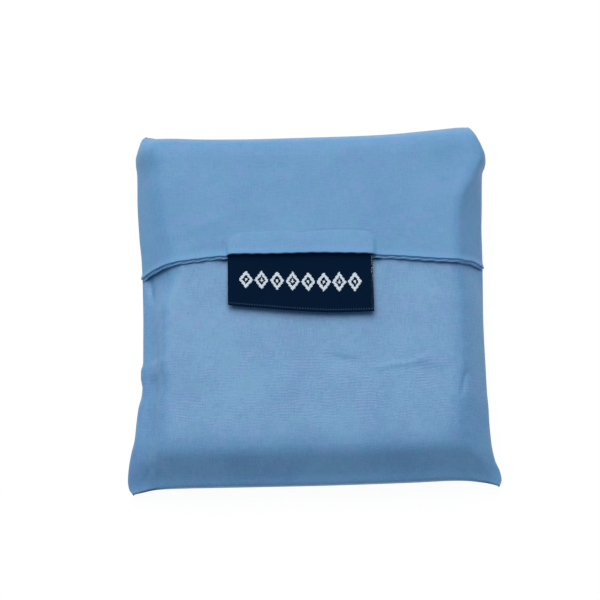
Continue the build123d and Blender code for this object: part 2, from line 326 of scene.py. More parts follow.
# ---------------------------------------------------------------------------
# The tote's mouth hems, one turned in and stitched down on each wall. Lockstitches in spun
# polyester thread run along the front one, just inside its lower edge.
# ---------------------------------------------------------------------------
for wall_side in ("front", "back"):
    hem_low, hem_high = corners(f"tote_{wall_side}_mouth_hem")
    hem_z = (hem_low[2] + hem_high[2]) / 2
    line = np.array([(y, hem_z) for y in np.linspace(hem_high[1], hem_low[1], 7)])
    hem = folded_strip(f"tote_{wall_side}_hem", line, hem_low[0], hem_high[0],
                       hem_high[2] - hem_low[2], seed=15)
    of_pouch(hem, "tote_taffeta", f"tote_{wall_side}_mouth_hem")

# Spun polyester sewing thread, two plies twisted, dyed to match: matt, with a fine slanting ply.
ply_length = 0.5  # along the thread for one turn of the plies
fuzz_size = 0.4
thread, tree = new_material("spun_polyester_sewing_thread")
place = add(tree, "TexCoord").outputs["Object"]
plies = add(tree, "TexWave", {"Vector": place, "Scale": 1000 * wave_repeat / ply_length,
                              "Distortion": 2}, bands_direction="DIAGONAL").outputs["Fac"]
fuzz = add(tree, "TexNoise", {"Vector": place, "Scale": 1000 / fuzz_size, "Detail": 2})
colour = add(tree, "Mix", {0: plies, 6: linear("#5f8ab4"), 7: linear("#82aad0")}, data_type="RGBA")
bump = add(tree, "Bump", {"Height": plies, "Distance": 0.00004})
bump = add(tree, "Bump", {"Height": fuzz, "Distance": 0.00002, "Normal": bump})
rough = add(tree, "MapRange", {"Value": fuzz, "To Min": 0.6, "To Max": 0.85})
shader = add(tree, "BsdfPrincipled", {"Base Color": colour, "Roughness": rough,
                                      "Normal": bump, "Specular IOR Level": 0.3})
add(tree, "OutputMaterial", {"Surface": shader})

# A row of stitches: a thread segment set at each step of a line, sunk at both its ends.
stitch_row = bpy.data.node_groups.new("row_of_stitches", "GeometryNodeTree")
for label, kind, direction in (
    ("Line", "Geometry", "INPUT"), ("Pitch", "Float", "INPUT"), ("Stitch length", "Float", "INPUT"),
    ("Thread width", "Float", "INPUT"), ("Turn", "Float", "INPUT"), ("Unevenness", "Float", "INPUT"),
    ("Thread", "Material", "INPUT"), ("Stitches", "Geometry", "OUTPUT"),
):
    stitch_row.interface.new_socket(label, in_out=direction, socket_type=f"NodeSocket{kind}")
given = add(stitch_row, "NodeGroupInput").outputs
line_curve = add(stitch_row, "GeometryNodeMeshToCurve", {"Mesh": given["Line"]})
steps = add(stitch_row, "GeometryNodeCurveToPoints", {"Curve": line_curve, "Length": given["Pitch"]},
            mode="LENGTH").outputs
heading = add(stitch_row, "FunctionNodeAlignRotationToVector", {"Vector": steps["Tangent"]}, axis="X")
lean = add(stitch_row, "FunctionNodeAxisAngleToRotation", {"Axis": (0, 0, 1), "Angle": given["Turn"]})
heading = add(stitch_row, "FunctionNodeRotateRotation", {"Rotation": heading, "Rotate By": lean},
              rotation_space="LOCAL")
uneven = add(stitch_row, "FunctionNodeRandomValue", {"Seed": 5}, data_type="FLOAT")
for socket, value in zip([s for s in uneven.inputs if s.enabled], (-1.0, 1.0)):
    socket.default_value = value
swing = add(stitch_row, "Math", (uneven, given["Unevenness"]), operation="MULTIPLY")
factor = add(stitch_row, "Math", (swing, 1.0), operation="ADD")
long = add(stitch_row, "Math", (factor, given["Stitch length"]), operation="MULTIPLY")
size = add(stitch_row, "CombineXYZ", (long, given["Thread width"], given["Thread width"]))
segment = add(stitch_row, "GeometryNodeMeshUVSphere", {"Segments": 8, "Rings": 6, "Radius": 0.5})
row = add(stitch_row, "GeometryNodeInstanceOnPoints",
          {"Points": steps["Points"], "Instance": segment, "Rotation": heading, "Scale": size})
row = add(stitch_row, "GeometryNodeRealizeInstances", (row,))
row = add(stitch_row, "GeometryNodeSetShadeSmooth", (row,))
row = add(stitch_row, "GeometryNodeSetMaterial", {"Geometry": row, "Material": given["Thread"]})
add(stitch_row, "NodeGroupOutput", (row,))


def stitches(name, line, pitch, stitch_length, thread_width, turn=0.0, unevenness=0.06):
    """A row of stitches along a line of points in millimetres, as a plain mesh."""
    mesh = bpy.data.meshes.new(name + "_line")
    edges = [(k, k + 1) for k in range(len(line) - 1)]
    mesh.from_pydata((np.asarray(line) / 1000).tolist(), edges, [])
    holder = place_object(name + "_line", mesh)
    sewn = holder.modifiers.new("row", "NODES")
    sewn.node_group = stitch_row
    values = {"Pitch": pitch / 1000, "Stitch length": stitch_length / 1000,
              "Thread width": thread_width / 1000, "Turn": turn, "Unevenness": unevenness,
              "Thread": thread}
    for item in stitch_row.interface.items_tree:
        if item.in_out == "INPUT" and item.name in values:
            sewn[item.identifier] = values[item.name]
    seen = bpy.context.evaluated_depsgraph_get()
    row = bpy.data.meshes.new_from_object(holder.evaluated_get(seen))
    row.name = name
    bpy.data.objects.remove(holder)
    return place_object(name, row)


hem_stitch_pitch, hem_stitch_length = 4.0, 3.3
sewn_low, sewn_high = corners("tote_mouth_hem_stitching")
sewn_y = (sewn_low[1] + sewn_high[1]) / 2
line = [(x, sewn_y, sewn_low[2] + 0.05) for x in np.linspace(sewn_low[0], sewn_high[0], 60)]
row = stitches("tote_hem_stitches", line, hem_stitch_pitch, hem_stitch_length, thread_width=0.4)
of_pouch(row, "sewing_thread", "tote_mouth_hem_stitching")

# ---------------------------------------------------------------------------
# The tote's two handles: flat straps of the same taffeta, folded to a band and sewn on the
# mouth hems. Both are laid to and fro on top of the folded walls.
# ---------------------------------------------------------------------------
strap = 0.34
strap_gap = 0.05  # pressed together by the pocket, where the label's ends press on it in turn
hem_clearance = 0.2  # between the back wall's hem and the strap under it
end_inset = 5.0  # a folded handle ends this far inside the pack
hem_low, hem_high = corners("tote_front_mouth_hem")
levels = [hem_high[2] + strap_gap + strap / 2 + k * (strap + strap_gap) for k in range(3)]
under_hem = corners("tote_back_mouth_hem")[0][2] - hem_clearance - strap / 2
for handle_side, heights in (("front", levels), ("back", [under_hem] + levels[:2])):
    low, high = corners(f"tote_{handle_side}_handle")
    line = to_and_fro(heights, hem_low[1], high_turn - end_inset, low_turn + end_inset, high_turn, 1)
    handle = folded_strip(f"tote_{handle_side}_strap", line, low[0], high[0], strap, seed=16)
    of_pouch(handle, "tote_taffeta", f"tote_{handle_side}_handle")

# ---------------------------------------------------------------------------
# The pouch's back and pocket: one cut of taffeta, folded up at the bottom and sewn into the
# side seams. The back lies flat on the table. The pocket is drawn tight over the folded tote.
# ---------------------------------------------------------------------------
pouch_cloth = taffeta("satin_taffeta_of_the_pouch", 0.2)
tight_cloth = taffeta("satin_taffeta_drawn_tight", 0.45, tone_range=0.28, rippled=(-37, -17))
cloth = 0.3  # the taffeta is 0.1 thick, and is drawn thicker so that its edges show
back_low, back_high = corners("pouch_back_panel")
hood_high = corners("pouch_hood")[1]
mouth_y, front_top = corners("pouch_front_panel")[1][1:]
seam_z = back_high[2]
half_width = hood_high[0] - 2.0  # the hood's corners stand out by 2
bottom_y = back_low[1] + 1.5  # the ears reach 1.5 past the bottom fold
top_y = back_high[1]
width = 2 * half_width
length = top_y - bottom_y

# how far the seam stands out past the straight side, from the ear tip to the top corner
left_stands_out = (
    (0, 4.0), (2, 5.2), (4, 5.5), (7, 5.3), (12, 4.4), (17, 3.1), (22, 2.5), (27, 1.8), (31.3, 0.7),
    (34, 0.45), (37, 0.9), (39.3, 0.85), (42, 0.15), (50, 0.0), (58, -0.1), (70, 0.0), (76, 0.2),
    (83.5, 0.8), (96.4, 1.3), (103.4, 1.25), (105.5, 1.3), (108.2, 1.65), (110.3, 1.7), (112.7, 1.15),
    (114.7, 0.55), (116.6, -0.2), (117.6, -0.9), (118, -1.6),
)
right_stands_out = (
    (0, 3.4), (2, 4.1), (4.4, 3.7), (7.9, 2.2), (12.8, 1.2), (19.7, 0.7), (24.7, 0.6), (29.6, 0.3),
    (39.5, 0.1), (51.3, -0.1), (69, 0.2), (76, 0.3), (82, 0.3), (90.7, 0.65), (96.6, 0.85), (100, 1.0),
    (102.7, 1.25), (104, 1.8), (105.7, 2.35), (107.4, 2.4), (109.5, 1.85), (112.3, 0.7), (115.4, -0.8),
    (117.4, -2.1), (118, -2.8),
)
# how far the seams' ends lie past the bottom and the top fold
seam_reaches = {-1: (0.75, 1.85), 1: (0.6, 2.7)}
# how far the folds stand out past the straight bottom and top, from left to right
bottom_stands_out = (
    (0, 0.9), (3, 0.2), (7, -0.4), (16, -0.3), (52, -0.2), (84, -0.5), (100, -0.9), (108, -0.4),
    (112, 0.7),
)
top_stands_out = (
    (0, 1.85), (1.5, 1.65), (4.5, 1.1), (8, 1.0), (11.4, 0.9), (16.3, 0.6), (23.4, 0.35), (37.8, 0.15),
    (56.3, 0.3), (70.7, 0.45), (81, 0.85), (87, 1.3), (93.3, 1.85), (96.6, 2.2), (100, 2.55),
    (102.2, 2.75), (105, 2.8), (106, 2.7),
)


def through(points, at):
    """Smooth curve through (place, value) pairs without overshoot, read at the given places."""
    place, value = np.array(points, float).T
    at = np.clip(at, place[0], place[-1])
    rise = np.diff(value) / np.diff(place)
    inner = np.where(rise[:-1] * rise[1:] > 0,
                     2 * rise[:-1] * rise[1:] / (rise[:-1] + rise[1:] + 1e-12), 0)
    slope = np.concatenate([[rise[0]], inner, [rise[-1]]])
    k = np.clip(np.searchsorted(place, at) - 1, 0, len(place) - 2)
    gap = place[k + 1] - place[k]
    t = (at - place[k]) / gap
    return (value[k] * (2 * t**3 - 3 * t**2 + 1) + slope[k] * gap * (t**3 - 2 * t**2 + t)
            + value[k + 1] * (3 * t**2 - 2 * t**3) + slope[k + 1] * gap * (t**3 - t**2))


def seam_side(share, stands_out, side):
    """Places on a side seam, from the ear tip at share 0 to the top corner at share 1."""
    up = share * stands_out[-1][0]
    x = side * (half_width + through(stands_out, up))
    low, high = seam_reaches[side]
    return np.stack([x, bottom_y - low + share * (length + low + high)], axis=-1)


def seam_end(share, stands_out, y, sign, left_x, right_x):
    """Places on the bottom or top fold, from its left end at share 0 to its right end."""
    x = left_x + share * (right_x - left_x)
    return np.stack([x, y + sign * through(stands_out, share * stands_out[-1][0])], axis=-1)


def plan(share_x, share_y):
    """Place in plan of a point of the pouch, from its shares of the way across and up."""
    ends = np.array([0.0, 1.0])
    left, left_ends = (seam_side(at, left_stands_out, -1) for at in (share_y, ends))
    right, right_ends = (seam_side(at, right_stands_out, 1) for at in (share_y, ends))
    p, q = share_x[..., None], share_y[..., None]
    folds = []
    for k, (stands_out, y, sign) in enumerate(((bottom_stands_out, bottom_y, -1),
                                               (top_stands_out, top_y, 1))):
        first, last = left_ends[k], right_ends[k]
        free = seam_end(ends, stands_out, y, sign, first[0], last[0])
        fold = seam_end(share_x, stands_out, y, sign, first[0], last[0])
        # the fold meets the side seams at its two corners
        folds.append(fold + (first - free[0]) * (1 - p) ** 6 + (last - free[1]) * p**6)
    return ((1 - p) * left + p * right + (1 - q) * folds[0] + q * folds[1]
            - (1 - p) * (1 - q) * left_ends[0] - p * (1 - q) * right_ends[0]
            - (1 - p) * q * left_ends[1] - p * q * right_ends[1])


def slope(points, steps):
    """A wall's slope at even steps: distances in from the seam, and shares of the height."""
    inward = np.linspace(0, points[-1][0], 800)
    risen = through((*points, (points[-1][0] + 1, 1)), inward)
    run = np.concatenate([[0], np.cumsum(np.hypot(np.diff(inward), 10 * np.diff(risen)))])
    even = np.linspace(0, run[-1], steps)
    return np.interp(even, run, inward), np.interp(even, run, risen)


tuck = 0.3  # each cloth turns in this much at a side seam
tuck_angles = np.linspace(pi / 2, 0, 5)[:-1]


def row_across(left, right, middle_columns):
    """Columns of one row: distance from the left seam, share of the height, and turned-in rise."""
    tucked = tuck * (1 - np.cos(tuck_angles))
    inner = np.linspace(left[0][-1], width - right[0][-1], middle_columns + 2)[1:-1]
    inward = np.concatenate([tucked, left[0], inner, width - right[0][::-1], width - tucked[::-1]])
    bare = np.zeros(len(tucked))
    risen = np.concatenate([bare, left[1], np.ones(middle_columns), right[1][::-1], bare])
    turned = tuck * (1 - np.sin(tuck_angles))
    edge = np.concatenate([turned, np.full(len(left[0]) + middle_columns + len(right[0]), tuck),
                           turned[::-1]])
    return inward, risen, edge


def mixed(first, second, share):
    """A slope part of the way between two."""
    return tuple(a + (b - a) * share for a, b in zip(first, second))


def soft_step(value, low, high):
    """0 below low, 1 above high, smooth between."""
    t = np.clip((value - low) / (high - low), 0, 1)
    return t * t * (3 - 2 * t)


ear_droop = 4.2
ear_width, ear_length = 10, 11  # how far it reaches inward and up


def seam_height(x, y):
    """Height of the seam: it droops at the empty ears."""
    across, up = (np.abs(x) - half_width - 4) / ear_width, (y - bottom_y) / ear_length
    return seam_z - ear_droop * np.exp(-(across**2 + up**2))


def crease(x, y, line, high_side, low_side, height):
    """A crease along a line of places, or a groove where its height is below 0.

    It falls off over high_side to the left of the line, as that runs, and low_side to the right.
    """
    line = np.array(line, float)
    best = np.full(x.shape, 1e9)
    lift = np.zeros(x.shape)
    total = np.concatenate([[0], np.cumsum(np.linalg.norm(np.diff(line, axis=0), axis=1))])
    for k in range(len(line) - 1):
        step = line[k + 1] - line[k]
        long = np.linalg.norm(step)
        t = np.clip(((x - line[k, 0]) * step[0] + (y - line[k, 1]) * step[1]) / long**2, 0, 1)
        dx, dy = x - line[k, 0] - t * step[0], y - line[k, 1] - t * step[1]
        far = np.hypot(dx, dy)
        side = np.sign(step[0] * dy - step[1] * dx)
        along = (total[k] + t * long) / total[-1]
        fade = np.sin(pi * np.clip(along, 0, 1)) ** 0.6
        fall = np.where(side > 0, high_side, low_side)
        value = height * fade * np.exp(-((far / fall) ** 2))
        nearer = far < best
        lift = np.where(nearer, value, lift)
        best = np.minimum(best, far)
    return lift


# slopes of the walls: distance in from the seam, and share of the height there, for the middle,
# the bottom, and the part under the hood
pocket_left_slopes = (
    ((0, 0), (0.5, 0.09), (2.9, 0.26), (4.4, 0.52), (6.0, 0.83), (7.3, 0.95), (9.5, 1)),
    ((0, 0), (0.8, 0.12), (5.8, 0.41), (7.0, 0.67), (8.9, 0.85), (11.2, 0.95), (14, 1)),
    ((0, 0), (0.8, 0.03), (2.8, 0.15), (7.6, 0.64), (10.4, 0.9), (14, 1)),
)
pocket_right_slopes = (
    ((0, 0), (0.6, 0.16), (5.4, 0.80), (7.6, 0.95), (10.5, 1)),
    ((0, 0), (0.8, 0.14), (7.5, 0.76), (10.5, 0.94), (14, 1)),
    ((0, 0), (0.6, 0.07), (2.5, 0.30), (6.2, 0.76), (8.0, 0.93), (11, 1)),
)
bottom_slope = ((0, 0), (0.4, 0.04), (2.5, 0.17), (8.2, 0.82), (10.6, 0.93), (14.0, 0.985), (18.5, 1))
back_slope = ((0, 0), (0.15, 0.25), (0.9, 0.6), (2.4, 0.87), (4.2, 0.98), (6.0, 1))

# the line of the hood's lower edge, by distance across: it bows, lowest at its ends
seam_line = (
    (-54, 11.2), (-52.2, 11.9), (-50.3, 12.45), (-48.4, 12.85), (-46.5, 13.05), (-44.6, 13.3),
    (-42.7, 13.55), (-40.8, 13.85), (-38.9, 14.1), (-37, 14.4), (-35.1, 14.65), (-33.2, 14.9),
    (-31.3, 15.12), (-29.4, 15.3), (-27.6, 15.4), (-26, 15.75), (-22.7, 15.9), (-12, 15.75),
    (-1.5, 15.75), (9, 15.4), (18.9, 14.85), (20.7, 14.45), (24.5, 14.1), (28.3, 13.65), (32, 13.1),
    (35.9, 12.5), (39.7, 11.93), (43.5, 11.45), (46.5, 11.25), (49.2, 11.5), (51.4, 11.75), (54, 11.7),
)

wall_steps = 24
pocket_columns = 150
pocket_spacing, back_spacing = 0.68, 1.6  # from row to row on their flats

# the pocket, from its mouth down to the bottom fold
end_in, end_up = slope(bottom_slope, 30)
flat_rows = np.arange(mouth_y, bottom_y + end_in[-1], -pocket_spacing)
pocket_y = np.concatenate([flat_rows - bottom_y, end_in[::-1]])
pocket_rise = np.concatenate([np.ones(len(flat_rows)), end_up[::-1]])
left_walls = [slope(points, wall_steps) for points in pocket_left_slopes]
right_walls = [slope(points, wall_steps) for points in pocket_right_slopes]
hem_y = corners("hood_hem")[0][1]
mouth_inset = 1.5  # under the hood it runs this far inside the side seams
flat_depth = 0.25  # its flat lies this far in from the solid's face
flat_crown = 0.45  # and crowns by this much in its middle
crown_reach = 54.0
edge_rise = 0.4  # it rises this much to the hood's edge
label_trough, tail_trough = 0.4, 1.0  # and gives way under the label, and under its sewn ends
rows = []
for up, risen in zip(pocket_y, pocket_rise):
    low_share = 1 - soft_step(up, 8, 42)
    under_share = soft_step(up + bottom_y, -2, 11)
    left = mixed(mixed(*left_walls[:2], low_share), left_walls[2], under_share)
    right = mixed(mixed(*right_walls[:2], low_share), right_walls[2], under_share)
    rows.append(row_across(left, right, pocket_columns))
inward, risen, edge = np.array(rows).transpose(1, 0, 2)
inset = mouth_inset * soft_step(pocket_y + bottom_y, hem_y - 1.0, hem_y + 3.0)[:, None]
inward = inset + inward * (1 - 2 * inset / width)
place = plan(inward / width, np.repeat(pocket_y[:, None] / length, inward.shape[1], axis=1))
x, y = place[..., 0], place[..., 1]
crown = (front_top - seam_z - flat_depth
         + flat_crown * (1 - (x / crown_reach) ** 2) * (1 - ((y + 5) / 60) ** 2))
to_edge = y - through(seam_line, x)
under_label = soft_step(x, -31, -27) * (1 - soft_step(x, 19.5, 23.5))
rise_to_edge = np.clip(1 + (to_edge + 0.8) / 8, 0, 1) ** 2
crown += rise_to_edge * (edge_rise - 0.1 * soft_step(x, 22, 31)) * (1 - under_label)
crown -= soft_step(to_edge, -7, -1) * label_trough * under_label
crown -= soft_step(to_edge, -1, 1) * (1 - soft_step(to_edge, 9, 12)) * tail_trough * under_label
fold_share = soft_step(pocket_rise, 0, 0.25)[:, None]
tight = risen * pocket_rise[:, None]
z = seam_height(x, y) + edge * fold_share + (crown - tuck) * risen * pocket_rise[:, None]
pocket = np.stack([x, y, z], axis=2)
pocket_out = facing(pocket)
relief = 0.10 * ripple(x, y, 17, 3) * tight + 0.04 * ripple(x * 0.5, y, 7, 4) * tight
# its creases: fall-off to the left and to the right, height, and line
pocket_creases = (
    # a loose fold that runs across the right half, and the dent at the right shoulder below it
    (0.45, 1.1, 0.27, ((16.5, -20.9), (21.2, -21.4), (24.3, -20.5), (26.9, -20.3), (29.0, -20.2),
                       (31.9, -19.4), (34.7, -18.5), (37.6, -17.7))),
    (2.6, 1.5, 0.27, ((31.5, -19.3), (34.5, -19.7), (37, -20.1), (39.8, -21.3), (41.5, -22.5))),
    (1.1, 3.0, -0.36, ((3.0, -17.1), (6.2, -17.8), (8.7, -18.7), (11.8, -19.1), (15, -19.2))),
    (0.55, 0.6, -0.5, ((48.4, -22.4), (47.4, -24.2), (46.8, -26.2), (46.5, -28.6), (45.8, -31.5))),
    (0.9, 1.3, 0.2, ((49.2, -25), (48.6, -28), (47.8, -32), (47.6, -35))),
    (1.2, 0.9, 0.22, ((46.9, -18), (46.7, -21), (46.2, -23.6))),
    # a pleat where the left wall comes out from under the hood
    (0.55, 1.1, -0.8, ((-51.1, 13.5), (-51.0, 9.5), (-50.8, 6.5), (-50.4, 3.0))),
    # the allowances' edge prints through where the left wall rises
    (0.8, 0.8, -0.35, ((-49.6, -4.1), (-49.7, -11.7), (-49.8, -21.4), (-49.9, -26.2), (-50.2, -31.0),
                       (-50.7, -35.7), (-51.1, -40.0))),
    # the corners' fold lines into the ears
    (1.0, 0.8, -0.3, ((-50.5, -40), (-50.8, -46), (-51.6, -50), (-55, -55))),
    (1.0, 0.8, -0.28, ((-49.5, -47), (-49, -51), (-48, -54.5))),
    (1.4, 1.4, 0.3, ((46, -45), (51, -50), (57, -56.5))),
)
for high_side, low_side, rises, line in pocket_creases:
    relief += crease(x, y, line, high_side, low_side, rises)
pocket = pocket + pocket_out * relief[..., None]
pocket_out = facing(pocket)

# the back, from the bottom fold up to the top fold
end_in, end_up = slope(back_slope, 16)
back_rows = np.arange(end_in[-1] + back_spacing, length - end_in[-1] - 0.5, back_spacing)
back_y = np.concatenate([end_in, back_rows, length - end_in[::-1]])
back_rise = np.concatenate([end_up, np.ones(len(back_rows)), end_up[::-1]])
back_side = slope(back_slope, wall_steps)
back_row = row_across(back_side, back_side, pocket_columns)
inward, risen, edge = np.array([back_row] * len(back_y)).transpose(1, 0, 2)
place = plan(inward / width, np.repeat(back_y[:, None] / length, inward.shape[1], axis=1))
x, y = place[..., 0], place[..., 1]
fold_share = soft_step(back_rise, 0, 0.25)[:, None]
z = seam_height(x, y) - edge * fold_share - (seam_height(x, y) - tuck) * risen * back_rise[:, None]
back = np.stack([x, y, z], axis=2)
back_out = facing(back)
hollow = soft_step(risen * back_rise[:, None], 0.9, 1)
back[..., 2] += hollow * (0.12 + 0.10 * ripple(x, y, 23, 6))

# the front and the back meet in one rounded fold
meet = unit(pocket_out[-1] + back_out[0])
pocket_out[-1], back_out[0] = meet, meet
back[0] = pocket[-1]

made = sheet_of_cloth("pouch_pocket", pocket, cloth, tight_cloth, pocket_out, joined="end")
of_pouch(made, "pouch_taffeta", "pouch_front_panel")

made = sheet_of_cloth("pouch_back", back, cloth, pouch_cloth, back_out, joined="start")
of_pouch(made, "pouch_taffeta", "pouch_back_panel")

# ---------------------------------------------------------------------------
# The pocket's mouth hem: the pocket's upper edge, turned in once and lockstitched. It lies
# hidden under the hood, against the folded tote.
# ---------------------------------------------------------------------------
hem_low, hem_high = corners("pocket_hem")
middle_y = pocket[:, pocket.shape[1] // 2, 1]
hem_rows = int(np.searchsorted(-middle_y, -hem_low[1]))
edge_columns = len(tuck_angles) + 8
across = slice(edge_columns, -edge_columns)
turned_in = pocket[:hem_rows, across] - pocket_out[:hem_rows, across] * (cloth + 0.03)
made = sheet_of_cloth("pocket_mouth_hem", turned_in, cloth, pouch_cloth)
of_pouch(made, "pouch_taffeta", "pocket_hem")

sewn_low, sewn_high = corners("pocket_hem_stitching")
sewn_row = int(np.argmin(np.abs(middle_y - (sewn_low[1] + sewn_high[1]) / 2)))
line = pocket[sewn_row, across] + pocket_out[sewn_row, across] * 0.03
made = stitches("pocket_hem_stitches", line, hem_stitch_pitch, hem_stitch_length, thread_width=0.36)
of_pouch(made, "sewing_thread", "pocket_hem_stitching")

# ---------------------------------------------------------------------------
# The side seams' allowances: the raw edges of back, pocket and hood, folded in beside the seam
# and bound by an overlock thread that slants over their edge.
# ---------------------------------------------------------------------------
allowance_low, allowance_high = corners("left_side_seam")
allowance_stack = allowance_high[2] - allowance_low[2] - 0.2
seam_shares = np.linspace(0.03, 0.985, 130)
inward = np.linspace(0.6, 4.3, 7)
overlock_in, overlock_down = 4.55, 0.5  # from the seam
for name, stands_out, side in (("left", left_stands_out, -1), ("right", right_stands_out, 1)):
    outline = seam_side(seam_shares, stands_out, side)
    grid = np.empty((len(outline), len(inward), 3))
    grid[..., 0] = outline[:, :1] - side * inward
    grid[..., 1] = outline[:, 1:]
    grid[..., 2] = seam_height(grid[..., 0], grid[..., 1]) - 0.12
    grid[..., 2] += 0.08 * ripple(grid[..., 0], grid[..., 1], 5, 21)
    if facing(grid)[..., 2].mean() < 0:
        grid = grid[:, ::-1]
    made = sheet_of_cloth(f"{name}_allowance", grid, allowance_stack, pouch_cloth)
    of_pouch(made, "pouch_taffeta", f"{name}_side_seam")
    line = np.stack([outline[:, 0] - side * overlock_in, outline[:, 1],
                     seam_height(outline[:, 0], outline[:, 1]) - overlock_down], axis=1)
    made = stitches(f"{name}_overlock", line, pitch=1.1, stitch_length=1.5, thread_width=0.4,
                    turn=radians(58))
    of_pouch(made, "sewing_thread", f"{name}_seam_overlock")

# ---------------------------------------------------------------------------
# The hood: the same cut of cloth, carried on from the back over the top fold and down over the
# pocket. It is faced with a second ply, and both are sewn together at its lower edge and turned.
# Its ends are sewn into the side seams, so its middle lifts while its wings stay held.
# ---------------------------------------------------------------------------
hood_cloth = 0.26
# slopes of its sides, near its lower edge, halfway up, and at the top fold
hood_left_slopes = (
    ((0, 0), (0.8, 0.12), (7.6, 0.80), (10.2, 0.95), (13.5, 1)),
    ((0, 0), (0.6, 0.13), (5.4, 0.80), (7.9, 0.95), (11, 1)),
    ((0, 0), (0.4, 0.22), (3.0, 0.70), (5.5, 0.93), (9.0, 1)),
)
hood_right_slopes = (
    ((0, 0), (0.6, 0.17), (6.2, 0.83), (7.6, 0.95), (10.0, 1)),
    ((0, 0), (0.6, 0.17), (5.8, 0.83), (7.2, 0.95), (9.6, 1)),
    ((0, 0), (0.25, 0.45), (0.8, 0.78), (2.2, 0.94), (5.0, 1)),
)
top_slope = ((0, 0), (0.5, 0.18), (2.6, 0.64), (4.6, 0.88), (6.8, 0.97), (10.0, 1))
stitch_pitch = 4.2
# the label's ends, sewn in between the plies, stand out between these, up to this top
patch_left, patch_right = -26.8, 20.0
patch_top = (
    (-27, 23.4), (-21.5, 23.6), (-10, 23.8), (-5.6, 23.6), (-3.4, 23.1), (-0.6, 23.6), (7, 23.95),
    (20, 23.3),
)
patch_corners = 6.0, 3.2  # its left and right upper corners' roundness
patch_notch = -3.4  # a small wrinkle notches its top here
hood_columns = 156
hood_depth = 0.35  # its smooth face lies this far in from the solid's, and crowns by as much
corner_drop = 4.0  # the pack does not fill the upper right corner, where it falls away
patch_height, patch_step = 0.6, 0.2  # over the label's ends, and the little step at their top
seam_ridge, seam_roll = 0.6, 0.55  # the seam's edges lift it, and it rolls over into the seam
pucker = 0.05
# what is pressed through it: fall-off to each side, height, and line
hood_creases = (
    # soft ridges from the folds of the tote
    (0.9, 0.09, ((30, 46), (28.2, 43), (28.9, 38), (28.6, 32.5), (31, 28), (38, 26.6))),
    (0.7, -0.06, ((10.2, 18), (9.9, 30), (10.4, 47))),
    (1.4, 0.10, ((-46, 22), (-36, 25.5), (-24, 30.5), (-15, 32))),
    (1.3, 0.10, ((8, 50), (17, 51.5), (30, 53))),
    (1.2, 0.09, ((-44, 17.8), (-33, 20.5), (-25, 21))),
    # a sharp dip beside the label's sewn ends
    (0.5, -0.35, ((-28.0, 21.5), (-27.5, 18.3), (-26.6, 15.0))),
)

end_in, end_up = slope(top_slope, 26)
hood_left = [slope(points, wall_steps) for points in hood_left_slopes]
hood_right = [slope(points, wall_steps) for points in hood_right_slopes]


def hood_surface(up):
    """The hood's smooth outer face for rows of distances up the pouch, and how tight it is there."""
    rows = []
    for at in up[:, up.shape[1] // 2]:
        middle_share = soft_step(at, 74, 97)
        left = mixed(*hood_left[:2], middle_share)
        right = mixed(*hood_right[:2], middle_share)
        left = mixed(left, hood_left[2], soft_step(at, length - 15, length - 5))
        right = mixed(right, hood_right[2], soft_step(at, length - 27, length - 12))
        rows.append(row_across(left, right, hood_columns))
    inward, risen, edge = np.array(rows).transpose(1, 0, 2)
    place = plan(inward / width, up / length)
    x, y = place[..., 0], place[..., 1]
    top_rise = np.interp(length - up, end_in, end_up)
    crown = hood_high[2] - seam_z - hood_depth + hood_depth * (1 - (x / crown_reach) ** 2)
    crown -= corner_drop * soft_step(x, 33, 56) * soft_step(up, length - 27, length - 9)
    fold_share = soft_step(top_rise, 0, 0.25)
    z = seam_height(x, y) + edge * fold_share + (crown - tuck) * risen * top_rise
    return np.stack([x, y, z], axis=2), risen * top_rise


def past_patch(x, y):
    """Distance past the outline of the label's sewn ends, and how far it is past their top."""
    corner = np.where(x < patch_notch, *patch_corners)
    dx = np.maximum(np.maximum(patch_left + corner - x, x - patch_right + corner), 0)
    dy = np.maximum(y - through(patch_top, x) + corner, 0)
    far = np.hypot(dx, dy)
    return far - corner, dy / np.maximum(far, 1e-6)


def hood_relief(x, y, above, tight):
    """How far the hood's face stands out from the smooth one, above its seam by a distance."""
    out = 0.08 * ripple(x, y, 19, 31) + 0.03 * ripple(x, y * 0.5, 8, 32)
    # it lies closer to the pocket near its lower edge, but stands off it towards the right
    near = np.exp(-((np.maximum(above, 0) / 8) ** 2))
    out = out - 0.12 * near + 0.3 * near * soft_step(x, 22, 31) * (1 - soft_step(x, 43, 51))
    for fall, height, line in hood_creases:
        out = out + crease(x, y, line, fall, fall, height)
    return out * tight


column_count = 2 * len(tuck_angles) + 2 * wall_steps + hood_columns
middle_row = np.full((1, column_count), 15.0 - bottom_y)
seam_x = hood_surface(middle_row)[0][0, :, 0]
seam_up = through(seam_line, seam_x) - bottom_y + 0.05 * np.cos(2 * pi * seam_x / stitch_pitch)
first_flat = length - end_in[-1]
near_seam = (3.0, 2.5, 2.1, 1.75, 1.45, 1.2, 1.0, 0.82, 0.66, 0.52, 0.4, 0.3, 0.21, 0.13, 0.06, 0)
ups = [np.full(column_count, length - d) for d in end_in]
for count, near, far in ((34, None, 9.9), (16, 9.9, 6.9), (8, 6.9, near_seam[0])):
    above_seam = first_flat - seam_up if near is None else near
    ups += [seam_up + above_seam + (far - above_seam) * t for t in np.linspace(0, 1, count + 1)[1:]]
ups = np.array(ups + [seam_up + d for d in near_seam[1:]])
hood, tight = hood_surface(ups)
hood_out = facing(hood)
x, y, above = hood[..., 0], hood[..., 1], ups - seam_up
past, upward = past_patch(x, y)
patch = (1 - soft_step(past, -0.5, 0.4)) * tight
relief = hood_relief(x, y, above, tight)
relief += patch * patch_height * np.exp(-((above / 7.0) ** 2))
